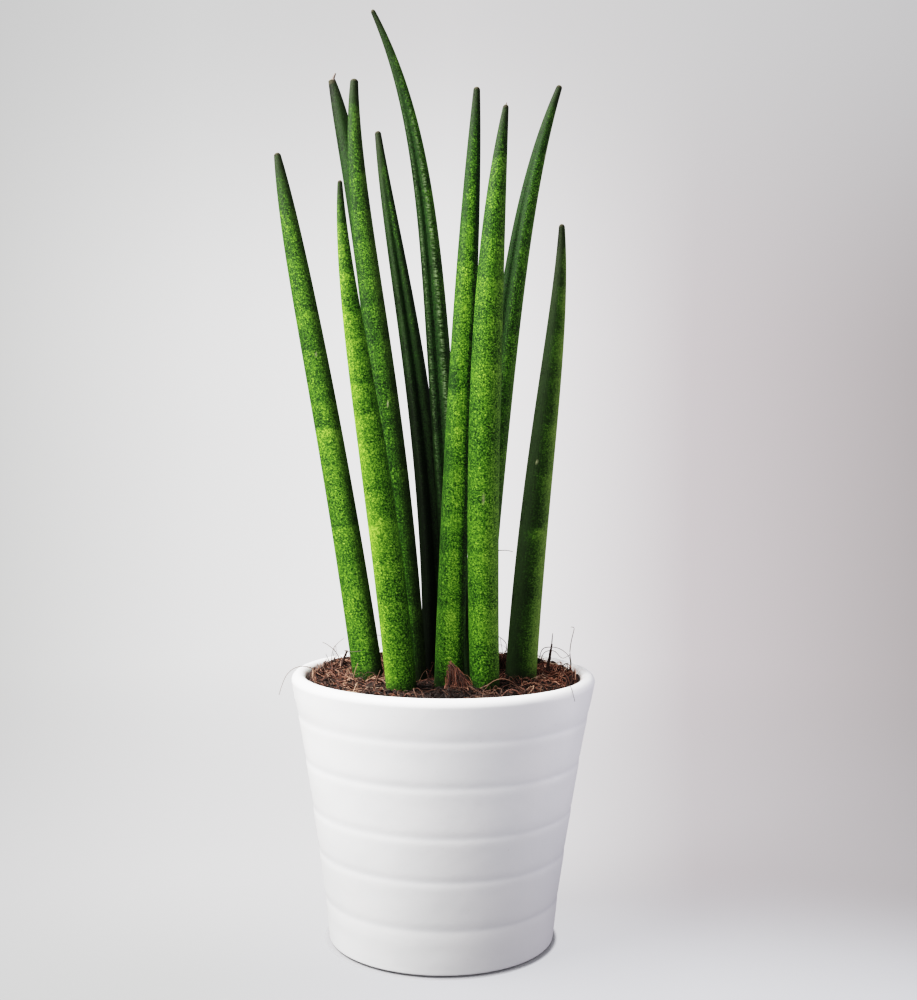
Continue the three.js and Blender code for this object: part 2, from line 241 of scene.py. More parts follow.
def addSurface(name, points, finish, marks=None, replaced=(), smooth=True):
    # points[tube, row, side] in millimetres: four-sided faces join neighbouring rows and
    # sides, and one face closes each end; marks are values at the same points
    tubes, rows, sides = points.shape[:3]
    corner = np.arange(tubes * rows * sides).reshape(tubes, rows, sides)
    beside = np.roll(corner, -1, axis=2)
    quads = np.stack([corner[:, :-1], beside[:, :-1], beside[:, 1:], corner[:, 1:]], axis=-1)
    loops = np.concatenate([quads.ravel(), corner[:, 0, ::-1].ravel(), corner[:, -1].ravel()])
    sizes = np.concatenate([np.full(quads.size // 4, 4), np.full(2 * tubes, sides)])
    starts = np.concatenate([[0], np.cumsum(sizes)[:-1]])
    mesh = bpy.data.meshes.new(name)
    mesh.vertices.add(points.size // 3)
    mesh.vertices.foreach_set("co", (points * mm).astype(np.float32).ravel())
    mesh.loops.add(len(loops))
    mesh.loops.foreach_set("vertex_index", loops.astype(np.int32))
    mesh.polygons.add(len(sizes))
    mesh.polygons.foreach_set("loop_start", starts.astype(np.int32))
    mesh.update(calc_edges=True)
    mesh.polygons.foreach_set("use_smooth", np.full(len(sizes), smooth))
    # the map runs once round the tube across and from start to end upwards
    across = np.arange(sides) / sides
    along = np.arange(rows) / (rows - 1)
    low, high, left, right = along[:-1, None], along[1:, None], across[None], across[None] + 1 / sides
    square = np.stack(np.broadcast_arrays(left, low, right, low, right, high, left, high), axis=-1)
    ends = np.zeros((2 * tubes * sides, 2))
    ends[tubes * sides:, 1] = 1
    layout = np.concatenate([np.tile(square.reshape(-1, 2), (tubes, 1)), ends])
    mesh.uv_layers.new(name="skin").data.foreach_set("uv", layout.astype(np.float32).ravel())
    for key, values in (marks or {}).items():
        spread = np.broadcast_to(values, (tubes, rows, sides)).astype(np.float32)
        mesh.attributes.new(key, "FLOAT", "POINT").data.foreach_set("value", spread.ravel())
    mesh.validate()
    mesh.materials.append(finish)
    piece = bpy.data.objects.new(name, mesh)
    scene.collection.objects.link(piece)
    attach(piece, "root")
    if replaced:
        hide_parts(*replaced)
    return piece


def unit(vectors):
    return vectors / np.maximum(np.linalg.norm(vectors, axis=-1, keepdims=True), 1e-9)


def turns(sides):
    return np.arange(sides) / sides * 2 * np.pi


def spokes(along, guide, sides):
    # directions square to a path all the way round it, from the one nearest to the guide
    across = unit(np.cross(along, guide))[..., None, :]
    turn = turns(sides)[:, None]
    return np.cross(across, along[..., None, :]) * np.cos(turn) + across * np.sin(turn)


def tubesAlong(paths, radii, sides, guide):
    # rings of the given radii, square to each path; guide is a direction that no path follows
    ring = spokes(unit(np.gradient(paths, axis=1)), guide, sides)
    return paths[:, :, None] + ring * radii[..., None, None]


def ringAt(reach, turn, height):
    # points that far from the middle line, turned round it, at that height
    return np.stack(np.broadcast_arrays(reach * np.cos(turn), reach * np.sin(turn), height), axis=-1)


def smoothStep(value, low, high):
    share = np.clip((value - low) / (high - low), 0, 1)
    return share * share * (3 - 2 * share)


def fadeOut(value, low, high):
    # 1 up to low, 0 from high on
    return smoothStep(-value, -high, -low)


def lattice(points, cell, seed):
    # random values on a lattice of that cell, blended by a smooth step; from -1 to 1
    place = points / cell
    base = np.floor(place).astype(np.int64)
    part = smoothStep(place - base, 0, 1)
    total = 0
    for corner in itertools.product((0, 1), repeat=points.shape[-1]):
        key = (base + corner) @ np.array([73856093, 19349663, 83492791])[:points.shape[-1]]
        key = (key ^ (seed * 2654435761)) & 0xFFFFFFFF
        key = ((key ^ (key >> 13)) * 1274126177) & 0xFFFFFFFF
        value = ((key ^ (key >> 16)) & 0xFFFF) / 32768 - 1
        total = total + value * np.prod(np.where(corner, part, 1 - part), axis=-1)
    return total


# ---- the pot

# the pot: a band is measured from one groove to the next; a wave gives its number round the
# wall, its share, its phase and the height in which it turns by one radian
pot = {
    "height": 124, "baseRadius": 52, "rimRadius": 70, "flare": 1.21, "floor": 7,
    "lip": 3.3, "lipBlend": 26, "baseEdge": 0.9,
    "innerFloor": 45, "innerEdge": (1.6, 2), "innerFoot": (47.2, 13),
    "grooves": (21.4, 43.3, 63, 85.4, 105.7), "swell": 0.2, "outerBands": (-20, 14),
    "swellFrom": (0, 6), "swellTo": (112, 118),
    "wave": 0.14, "waves": ((2, 0.6, 0.7, 60), (3, 0.5, -1.1, -35)),
    "waveFrom": (2, 12), "waveTo": (112, 119),
    "lumps": 0.16, "lumpCell": 13.0, "lumpReach": 30,
    # the bare ring that it stands on, and the glaze's height over the floor
    "footRing": (41, 50.2, 1.1), "footGap": 0.7,
    "sides": 240, "middle": 0.2, "midway": 20,
    "heelRows": 7, "wallRows": 190, "rimRows": 25, "insideRows": 40,
    # how far the glaze pools beside a groove, and where dust of the coir lies on the rim
    "poolWide": 1.1, "dust": 0.85, "dustHeight": (121.6, 124.9),
}
# share of a band, and how far it stands out there, from -1 in the groove to 1 at its crest
bandShape = np.array([(0, -1), (0.13, 0.1), (0.84, 1), (0.92, 0.5), (1, -1)])
grooveSoftness = (0.12, 0.23, 0.3, 0.23, 0.12)
lipMiddle = (pot["rimRadius"] - pot["lip"], pot["height"] - pot["lip"])


def wallRadius(z):
    # the flaring wall: base radius plus the flare's power of the height, and the rest of the
    # way out to the rim is eased in below it
    spread = pot["rimRadius"] - pot["baseRadius"]
    short = spread * (1 - (lipMiddle[1] / pot["height"]) ** pot["flare"])
    blend = smoothStep(z, lipMiddle[1] - pot["lipBlend"], lipMiddle[1])
    return pot["baseRadius"] + spread * np.clip(z / pot["height"], 0, 1) ** pot["flare"] + short * blend


def innerRadius(z):
    foot, level = pot["innerFoot"]
    return foot + (lipMiddle[0] - pot["lip"] - foot) * (z - level) / (lipMiddle[1] - level)


def bandSwell(z):
    # each band swells from a groove to a crest just under the next one
    below, above = pot["outerBands"]
    edges = np.array([below, *pot["grooves"], lipMiddle[1] + above])
    index = np.clip(np.searchsorted(edges, z, side="right") - 1, 0, len(edges) - 2)
    share = (z - edges[index]) / (edges[index + 1] - edges[index])
    swell = np.interp(share, bandShape[:, 0], bandShape[:, 1])
    swell = np.where((index == 0) & (share < 0.5), 0.0, swell)
    return swell * pot["swell"] * smoothStep(z, *pot["swellFrom"]) * fadeOut(z, *pot["swellTo"])


def potProfile():
    # foot ring, heel, outer wall, full round rim, inner wall and inner floor, as radius and
    # height, and the row at which each part after the foot ring starts
    inner, outer, rise = pot["footRing"]
    gap, edge, middle = pot["footGap"], pot["baseEdge"], pot["middle"]
    under = [(middle, rise), (pot["midway"], rise), (inner - 1, rise), (inner, 0.35), (inner + 0.6, 0),
             (outer - 0.3, 0), (outer, 0.2), (outer, gap)]
    corner = np.linspace(0, math.pi / 2, pot["heelRows"])
    heel = np.stack([wallRadius(gap + edge) - edge * (1 - np.sin(corner)),
                     gap + edge * (1 - np.cos(corner))], axis=1)
    levels = np.linspace(gap + edge, lipMiddle[1], pot["wallRows"])[1:-1]
    softened = np.convolve(np.pad(bandSwell(levels), 2, "edge"), grooveSoftness, "valid")
    wall = np.stack([wallRadius(levels) + softened, levels], 1)
    arc = np.linspace(0, math.pi, pot["rimRows"])
    rim = np.stack([lipMiddle[0] + pot["lip"] * np.cos(arc), lipMiddle[1] + pot["lip"] * np.sin(arc)], 1)
    depths = np.linspace(lipMiddle[1], pot["innerFoot"][1], pot["insideRows"])[1:]
    inside = np.stack([innerRadius(depths), depths], 1)
    aside, up = pot["innerEdge"]
    level = pot["floor"]
    sole = [(pot["innerFloor"] + aside, level + up), (pot["innerFloor"], level),
            (pot["midway"], level), (middle, level)]
    parts = [under, heel, wall, rim, inside, sole]
    return np.concatenate(parts), np.cumsum([len(part) for part in parts])


# colours, and each noise as scale, detail and roughness; painted shade makes the glaze this dark
# at the foot, from which it brightens up to the given height
glaze = {
    "whites": ((0.81, 0.815, 0.825), (0.84, 0.835, 0.84)), "pooled": (0.66, 0.665, 0.69), "poolShare": 0.55,
    "speck": (0.42, 0.39, 0.36), "speckShare": 0.35, "dust": (0.33, 0.17, 0.11),
    "clays": ((0.5, 0.46, 0.4), (0.62, 0.58, 0.52)), "paintedFootShade": 0.66, "paintedShadeTop": 0.125,
    "rough": (0.3, 0.4), "clayRough": 0.85, "shine": 0.42, "bump": (0.0006, 0.5),
    "noises": {"cloud": (26, 3, 0.55), "specks": (900, 2, 0.6), "grains": (520, 3, 0.7),
               "sheen": (60, 2, 0.5), "ripple": (55, 2, 0.5), "peel": (420, 2, 0.5)},
}


def makeGlaze():
    finish, tree, shader = startFinish("whiteGlaze", shine=glaze["shine"])
    coords = objectCoords(tree)
    pooled, bare, dust = markOf(tree, "pooled"), markOf(tree, "bare"), markOf(tree, "dust")
    noise = {name: noiseOn(tree, coords, *shape) for name, shape in glaze["noises"].items()}
    white = blend(tree, ease(tree, noise["cloud"], 0.3, 0.7), *glaze["whites"])
    white = blend(tree, times(tree, pooled, glaze["poolShare"]), white, glaze["pooled"])
    # painted shade: the glaze is darker at the foot and brightens towards the rim
    height = addNode(tree, "SeparateXYZ", {"Vector": coords}).outputs["Z"]
    white = blend(tree, 1.0, white,
                  ease(tree, height, 0, glaze["paintedShadeTop"], glaze["paintedFootShade"], 1), "MULTIPLY")
    specks = ease(tree, noise["specks"], 0.7, 0.76, 0.0, glaze["speckShare"])
    white = blend(tree, specks, white, glaze["speck"])
    dusted = maths(tree, "MULTIPLY", dust, ease(tree, noise["grains"], 0.38, 0.62), clamp=True)
    white = blend(tree, dusted, white, glaze["dust"])
    clay = blend(tree, noise["grains"], *glaze["clays"])
    tree.links.new(blend(tree, bare, white, clay), shader.inputs["Base Color"])
    sheen = ease(tree, noise["sheen"], 0.3, 0.7, *glaze["rough"])
    rough = maths(tree, "MAXIMUM", sheen, times(tree, bare, glaze["clayRough"]))
    tree.links.new(rough, shader.inputs["Roughness"])
    relief = times(tree, noise["peel"], 0.12, noise["ripple"])
    relief = times(tree, noise["grains"], times(tree, bare, 0.5), relief)
    addBump(tree, shader, relief, *glaze["bump"])
    return finish


profile, (heelRow, wallRow, rimRow, insideRow, _, rowCount) = potProfile()
row = np.arange(rowCount)[:, None]
potTurn = turns(pot["sides"])
potRadii, heights = profile[:, :1], profile[:, 1:]
onWall = (row >= wallRow) & (row < rimRow)
# the thrown wall is never quite round: slow waves run round it and up it, and low lumps
wave = pot["wave"] * sum(share * np.cos(number * potTurn + phase + heights / climb)
                         for number, share, phase, climb in pot["waves"])
lumps = lattice(ringAt(pot["lumpReach"], potTurn, heights), pot["lumpCell"], 5)
wave = (wave + pot["lumps"] * lumps) * onWall
wave = wave * smoothStep(heights, *pot["waveFrom"]) * fadeOut(heights, *pot["waveTo"])
shape = ringAt(potRadii + wave, potTurn, heights)
nearGroove = np.min(np.abs(heights - np.array(pot["grooves"])), axis=1, keepdims=True)
potMarks = {
    "pooled": np.exp(-(nearGroove / pot["poolWide"]) ** 2) * onWall,
    "bare": (row < heelRow) * 1.0,
    "dust": pot["dust"] * (row > (rimRow + insideRow) / 2) * fadeOut(heights, *pot["dustHeight"]),
}
addSurface("pot_glazed", shape[None], makeGlaze(), potMarks, ["pot"])
print("pot made")


# ---- the coir

coir = {
    "level": 119.2, "bank": 6.5, "gap": 0.35, "bottom": 13.2, "sunk": 1.0,
    "sides": 300, "rings": 105, "wallRows": 12, "hub": 0.003, "underStep": 15, "underShare": 0.7,
    # cell and height of each size of crumb, which fade out this near to the wall
    "crumbs": ((6.5, 1.0), (2.4, 0.8), (1.1, 0.45)), "crumbFade": 3,
    # share, cell and seed of the blotches in its own tone
    "bedTone": 0.16, "blotches": ((0.3, 5.0, 3), (0.2, 1.7, 4)),
    # painted light makes each side paler than the middle: how much, where that begins and where
    # it is full; painted shade darkens the front, and a patch in the middle of it more
    "right": (0.2, 38, 54), "left": (0.02, -50, -34), "front": (0.22, -26, 6),
    "shadowPatch": (0.45, -8, 16), "shadowPatchMiddle": 6, "shadowPatchWide": 30,
}
# each kind of fibre: lift is how far its middle stands off the coir and rise how far its end does
fibreKinds = table("count length radius lift rise steps seed",
    mat=(1500, (6, 20), (0.13, 0.27), 1.3, 0.7, 8, 21),
    bristles=(1500, (2.5, 7), (0.11, 0.22), 0.6, 2.6, 5, 34),
    strands=(150, (10, 28), (0.14, 0.26), 2.2, 0.9, 11, 39),
    bits=(700, (1.5, 5), (0.25, 0.55), 0.6, 0.3, 5, 47))
# what all of them share: spread of the steady turn and of the bend in it, the bends' number,
# the room kept to the wall, how the lifts vary, the lowest rise, the taper and the tones
fibreHabit = {"turn": 1.5, "bend": 0.7, "bends": (1, 2.6), "room": (1.2, 3), "lifts": (1.3, 0.7),
              "arch": 1.4, "lowest": -0.3, "taper": 0.55, "tone": 0.5, "toneSpread": 0.3}
# colours from dark to light
browns = {
    "coir": ((0.006, 0.003, 0.002), (0.03, 0.012, 0.008), (0.12, 0.046, 0.029), (0.34, 0.185, 0.13)),
    "bed": ((0.004, 0.002, 0.0015), (0.014, 0.006, 0.004), (0.05, 0.021, 0.013)),
    "strand": ((0.05, 0.024, 0.015), (0.16, 0.09, 0.06), (0.42, 0.3, 0.22)),
    "bit": ((0.004, 0.003, 0.003), (0.02, 0.011, 0.009), (0.07, 0.04, 0.03)),
    "hair": ((0.012, 0.009, 0.008), (0.05, 0.036, 0.03), (0.13, 0.1, 0.085)),
}
coirEdge = innerRadius(coir["level"])


def coirTop(x, y):
    # banked up towards the wall, most at the back, with slow waves
    reach = np.hypot(x, y) / coirEdge
    bank = coir["bank"] * reach ** 2 * (0.5 + 0.5 * y / coirEdge)
    return (coir["level"] + bank + 0.8 * np.sin(0.21 * x + 1.3) * np.cos(0.17 * y)
            + 0.45 * np.sin(0.52 * x - 0.43 * y + 0.6))


def coirSurface(x, y):
    # the coir's top with its crumbs, which fade out at the wall
    flat = np.stack([x, y], axis=-1)
    crumbs = sum(height * lattice(flat, cell, 60 + i)
                 for i, (cell, height) in enumerate(coir["crumbs"]))
    crumbs = crumbs * fadeOut(np.hypot(x, y), coirEdge - coir["crumbFade"], coirEdge)
    return coirTop(x, y) - coir["sunk"] + crumbs


def coirPaintedLight(points):
    # painted light and shade: paler towards the sides, darker in front, darkest in the middle of the front
    x, y = points[..., 0], points[..., 1]
    (right, *rightSpan), (left, *leftSpan), (front, *frontSpan), (shadowPatch, *shadowPatchSpan) = (
        coir[zone] for zone in ("right", "left", "front", "shadowPatch"))
    inFront = fadeOut(y, *frontSpan)
    patch = np.exp(-((x - coir["shadowPatchMiddle"]) / coir["shadowPatchWide"]) ** 2) * fadeOut(y, *shadowPatchSpan)
    return (right * smoothStep(x, *rightSpan) * (1 - inFront) + left * fadeOut(x, *leftSpan)
            - front * inFront - shadowPatch * patch)


def coirFinish(name, colours, rough, grain, deep=0.5):
    # colours from dark to light, picked by each fibre's own tone and a fine grain
    finish, tree, shader = startFinish(name, rough, 0.25)
    fine = noiseOn(tree, objectCoords(tree), grain, 3, 0.65)
    grains = times(tree, maths(tree, "SUBTRACT", fine, 0.5), deep)
    value = times(tree, markOf(tree, "tone"), 0.8, grains)
    colour = ramp(tree, value, [(i / (len(colours) - 1) * 0.8, c) for i, c in enumerate(colours)])
    tree.links.new(colour, shader.inputs["Base Color"])
    addBump(tree, shader, fine, 0.0002, 0.6)
    return finish


# one grid from the middle of the top out to the wall, down it, and back under to the middle
reaches = np.linspace(coir["hub"], 1, coir["rings"])[:, None] * (coirEdge - coir["gap"])
bedTurn = turns(coir["sides"])[None]
bedX, bedY = reaches * np.cos(bedTurn), reaches * np.sin(bedTurn)
bedTop = ringAt(reaches, bedTurn, coirSurface(bedX, bedY))
drop = np.linspace(0, 1, coir["wallRows"])[1:, None]
depth = coirSurface(bedX[-1:], bedY[-1:]) * (1 - drop) + coir["bottom"] * drop
wallReach = innerRadius(np.minimum(depth, coir["level"])) - coir["gap"]
bedSide = ringAt(wallReach, bedTurn, depth)
baseReach = reaches[::-coir["underStep"]] * coir["underShare"]
bedUnder = ringAt(baseReach, bedTurn, coir["bottom"])
bed = np.concatenate([bedTop, bedSide, bedUnder])[::-1]
# the bed's own tone and blotches, plus the painted light and shade across the coir
bedTone = coir["bedTone"] + coirPaintedLight(bed) + sum(share * lattice(bed[..., :2], cell, seed)
                                                for share, cell, seed in coir["blotches"])
bedFinish = coirFinish("coirBedFinish", browns["bed"], 0.95, 900, 1.0)
addSurface("coir_bed", bed[None], bedFinish, {"tone": bedTone}, ["coir_soil"])


def strewnPaths(kind):
    # each fibre wanders over the coir from a random place: its heading turns steadily with
    # one bend, its middle lifts off, its end rises, and it stays inside the wall
    chance = np.random.default_rng(kind["seed"])
    habit, count, steps = fibreHabit, kind["count"], kind["steps"]
    share = np.linspace(0, 1, steps)[None]
    start = coirEdge * np.sqrt(chance.random((count, 1)))
    place = chance.random((count, 1)) * 2 * np.pi
    length = chance.uniform(*kind["length"], (count, 1))
    heading = chance.random((count, 1)) * 2 * np.pi
    curl = chance.normal(0, habit["turn"], (count, 1)) * share
    bend = chance.normal(0, habit["bend"], (count, 1))
    curl = curl + bend * np.sin(share * np.pi * chance.uniform(*habit["bends"], (count, 1))
                                + chance.uniform(0, 6, (count, 1)))
    step = length / (steps - 1)
    x = start * np.cos(place) + np.cumsum(np.cos(heading + curl) * step, axis=1)
    y = start * np.sin(place) + np.cumsum(np.sin(heading + curl) * step, axis=1)
    least, spare = habit["room"]
    room = coirEdge - least - chance.random((count, 1)) * spare
    squeeze = np.minimum(1, room / np.maximum(np.hypot(x, y), 1e-6))
    x, y = x * squeeze, y * squeeze
    lift = kind["lift"] * chance.gamma(*habit["lifts"], (count, 1)) * np.sin(np.pi * share) ** habit["arch"]
    rise = kind["rise"] * chance.uniform(habit["lowest"], 1, (count, 1)) * share
    paths = np.stack([x, y, coirSurface(x, y) + lift + rise], axis=-1)
    radii = chance.uniform(*kind["radius"], (count, 1)) * (1 - habit["taper"] * share ** 2)
    tones = chance.normal(habit["tone"], habit["toneSpread"], (count, 1))
    return paths, radii, tones, chance


def addFibres(name, paths, radii, tones, finish, chance, sides=3):
    guide = unit(chance.normal(0, 1, (len(paths), 1, 3)))
    # each fibre's own tone, plus the painted light and shade across the coir
    shades = np.clip(tones + coirPaintedLight(paths), 0, 1)[..., None]
    return addSurface(name, tubesAlong(paths, radii, sides, guide), finish, {"tone": shades})


fibreFinish = coirFinish("coirFibreFinish", browns["coir"], 0.75, 1500)
strandFinish = coirFinish("coirStrandFinish", browns["strand"], 0.7, 1500)
bitFinish = coirFinish("coirBitFinish", browns["bit"], 0.9, 1100)
hairFinish = coirFinish("coirHairFinish", browns["hair"], 0.6, 1500)
for kind, fibreSkin, sides in (("mat", fibreFinish, 3), ("bristles", fibreFinish, 3),
                               ("strands", strandFinish, 3), ("bits", bitFinish, 4)):
    strewn, thickness, tones, chance = strewnPaths(fibreKinds[kind])
    addFibres("coir_" + kind, strewn, thickness, tones, fibreSkin, chance, sides)

# heaps of old coir: one leans on the middle leaf, one stands behind the right-hand leaves
tufts = table("count foot footSpread top topSpread bow tone seed",
    front=(460, (6.8, -21.5, 117.6), (6.6, 3.4, 0.9), (3.2, -17, 130.2), (1.7, 0.9, 1.5),
        (1, -1.2, 0.4), 1.05, 8),
    behind=(150, (29.2, 29.5, 119.5), (4.2, 3, 1), (29, 29.5, 127.2), (1.9, 1.5, 1.4),
        (0, -0.6, 0.6), 0.56, 9))
tuftHabit = {"steps": 9, "reach": (0.35, 1), "bow": 0.8, "wander": 0.5, "bends": (4, 11),
             "radius": (0.12, 0.25), "taper": 0.5, "toneSpread": 0.26}
upTuft = np.linspace(0, 1, tuftHabit["steps"])[None, :, None]
for name, tuft in tufts.items():
    # each fibre runs some way from foot to top, bowed and wandering
    chance = np.random.default_rng(tuft["seed"])
    count = tuft["count"]
    foot = tuft["foot"] + chance.uniform(-1, 1, (count, 1, 3)) * tuft["footSpread"]
    top = tuft["top"] + chance.uniform(-1, 1, (count, 1, 3)) * tuft["topSpread"]
    reached = chance.uniform(*tuftHabit["reach"], (count, 1, 1)) * upTuft
    bow = tuft["bow"] + chance.normal(0, tuftHabit["bow"], (count, 1, 3))
    bends = chance.uniform(*tuftHabit["bends"], (count, 1, 3))
    wander = np.sin(upTuft * bends + chance.uniform(0, 6, (count, 1, 3)))
    stems = foot * (1 - reached) + top * reached + bow * np.sin(np.pi * upTuft)
    stems += tuftHabit["wander"] * wander
    thickness = chance.uniform(*tuftHabit["radius"], (count, 1)) * (1 - tuftHabit["taper"] * upTuft[..., 0])
    tones = chance.normal(tuft["tone"], tuftHabit["toneSpread"], (count, 1))
    addFibres("coir_tuft_" + name, stems, thickness, tones, fibreFinish, chance)


def threadThrough(points, steps):
    # a smooth thread through the points: each span is the blend of its four nearest
    points = np.asarray(points, float)
    knots = np.concatenate([2 * points[:1] - points[1:2], points, 2 * points[-1:] - points[-2:-1]])
    place = np.linspace(0, len(points) - 1, steps)
    span = np.minimum(place.astype(int), len(points) - 2)
    part = (place - span)[:, None]
    a, b, c, d = (knots[span + i] for i in range(4))
    return 0.5 * (2 * b + (c - a) * part + (2 * a - 5 * b + 4 * c - d) * part ** 2
                  + (3 * b - a - 3 * c + d) * part ** 3)


def threadTubes(threads, steps, start, end, power=1):
    # paths and radii of threads given as a radius and the points passed; the share of that
    # radius goes evenly from start to end and is raised to the power
    paths = np.array([threadThrough(thread[1:], steps) for thread in threads])
    taper = np.linspace(start, end, steps)[None] ** power
    return paths, np.array([thread[0] for thread in threads])[:, None] * taper


# loose hairs that stand clear of the coir, and pale strands that arch over it: radius, then
# the points that each passes
looseHairs = [
    (0.17, (-59, 5, 120.5), (-61.9, 4, 124.2), (-66.5, 3, 125.1), (-70.4, 2, 123.8), (-73.2, 1, 120.9),
     (-74.9, 0, 116.9), (-76.2, -1, 112.4)),
    (0.16, (-49.4, 26.8, 120), (-50.6, 26.8, 125.2), (-52.6, 26.8, 128.6), (-56, 26.8, 131.5),
     (-58.7, 26.8, 132.9)),
    (0.14, (-55, 26, 120), (-53.5, 26, 129.2), (-51.6, 26, 132.1), (-48.2, 26, 135.1)),
    (0.15, (-54.7, 29.5, 121), (-57.2, 29.5, 126.7)),
    (0.13, (-53.2, 30.8, 121), (-53.4, 30.8, 127)),
    (0.15, (-46.5, 25, 129.1), (-47, 14, 130.8), (-43.6, 3.5, 132), (-39.2, -1.2, 133.1),
     (-37.8, -1, 133.4)),
    (0.24, (-31.9, 26.2, 118), (-31.6, 26.2, 123.6), (-30.3, 26.2, 125)),
    (0.17, (46.5, 37, 121), (48, 32, 129), (51.4, 26, 131.4), (55.8, 20, 131.5), (59.6, 14, 128.6),
     (60.4, 12, 122)),
    (0.16, (46.8, 34, 120.6), (48.9, 30, 127.9), (53.4, 26, 129.5), (56.8, 20, 127.1), (60, 14, 129.6)),
    (0.18, (60.4, 14, 119.8), (60.6, 14, 125.3), (60, 14, 130.5), (60.4, 14, 135.3), (61.3, 14, 139.6),
     (61.8, 14, 142.5), (60.3, 14, 143)),
    (0.13, (54.5, -30, 119), (55, -38, 124.6), (56, -41.5, 122.6), (57, -43, 118.6)),
    (0.14, (30, 50, 122), (29.2, 50, 127), (28.3, 50, 132)),
    (0.17, (30, 40, 122), (31, 42, 130), (27, 43, 134), (24, 43, 135)),
    (0.18, (-24, 46, 122), (-28, 48, 131), (-35, 48, 134)),
    (0.18, (6, 52, 123), (2, 54, 130), (-6, 53, 133), (-12, 52, 127)),
    (0.17, (18, 56, 123), (22, 62, 127.6), (24, 66.5, 125), (24, 68.6, 118)),
    (0.18, (-45, 34, 121), (-46, 36, 128), (-44, 38, 133)),
    (0.15, (22.5, -22, 182.2), (25, -24, 182.4), (27.8, -24, 182.4), (30.4, -24, 181.8)),
]
paleStrands = [
    (0.2, (-42.5, 0.8, 117.5), (-41.1, 0.3, 123.5), (-39.8, -0.2, 127.3)),
    (0.24, (-31.1, -29.2, 117.5), (-30.3, -29.2, 122.6), (-27.9, -29.2, 129.3)),
    (0.2, (-55, 5.5, 121.4), (-52.6, -4, 121.4), (-49.3, -13.2, 119.2)),
    (0.2, (-46.6, 12, 120.4), (-44, 0, 120.2), (-41.3, -12, 119.2), (-36, -22, 118.6)),
    (0.18, (-42.1, -5.5, 119.2), (-38, -18, 119.6), (-33.9, -27, 118.8)),
    (0.24, (14.8, -24.5, 118), (15.9, -24.5, 120.1), (19.9, -25.5, 122.3), (23.4, -26, 124.6),
     (27, -26, 125.1), (30.6, -25, 123.6), (33.4, -23, 121), (34.9, -21, 117.6)),
    (0.15, (28.8, -6, 119), (30.6, -7, 122.6), (33.3, -8, 120), (35.1, -9, 117.2)),
    (0.17, (22.1, -26, 117.4), (22.5, -26, 121.1), (23.4, -26, 122), (24.8, -26, 120.6),
     (26.1, -26, 117.6)),
    (0.18, (34.3, -19, 117.4), (36.3, -19, 122.6), (39, -19, 121.2), (40.9, -19, 117.6)),
    (0.2, (44.5, 2, 119.6), (50, 8, 121.2), (55.5, 9, 121.2), (60, 5, 120.4)),
]
for name, hairs, hairSkin, seed in (("loose_hairs", looseHairs, hairFinish, 5),
                                    ("pale_strands", paleStrands, strandFinish, 6)):
    chance = np.random.default_rng(seed)
    stems, thickness = threadTubes(hairs, 26, 1.4, 0.8)
    addFibres(name, stems, thickness, chance.uniform(0.2, 0.9, (len(stems), 1)), hairSkin, chance, 5)

twigs = [
    (0.85, (-49.6, 25, 118), (-49, 25, 122.1), (-48.1, 25, 125.5), (-46.5, 25, 129.1)),
    (0.9, (49, 14, 117), (49.6, 14, 123.8), (50.5, 14, 129.5), (51.4, 14, 134.8)),
    (0.26, (51.1, 14, 132.5), (51.5, 14, 137.6), (51.7, 14, 140)),
    (1.1, (-57, 22, 117.5), (-57.2, 22, 121.4), (-57, 22, 124.4)),
]
twigPaths, twigRadii = threadTubes(twigs, 14, 1, 0.4, 0.8)
twigRings = tubesAlong(twigPaths, twigRadii, 9, (0, 1, 0.15))
knots = lattice(twigRings, 1.3, 12)[..., None]
twigRings = twigRings + (twigRings - twigPaths[:, :, None]) * knots * 0.3
addSurface("twigs", twigRings, bitFinish, {"tone": 0.55})
print("coir made")


# ---- the leaves

leafShape = {
    "buried": 28, "shoulder": 17, "heelShare": 0.5, "hookPower": 6,
    # the tip's dome: its height, the share of a quarter turn that closes it, the share of the
    # leaf that it adds; and the dead length
    "tipPoint": 1.6, "domeEnd": 0.97, "domeShare": 0.004, "dry": 1.75,
    # the channel that it faces with, which runs out just below the tip, and the low ribs
    "channelDepth": 0.3, "channelWidth": 0.36, "channelEnd": (0.97, 4), "ribs": 5, "ribDepth": 0.012,
    "sides": 72, "rows": 190, "crowding": 1.8, "buriedRows": 9, "domeRows": 8,
}
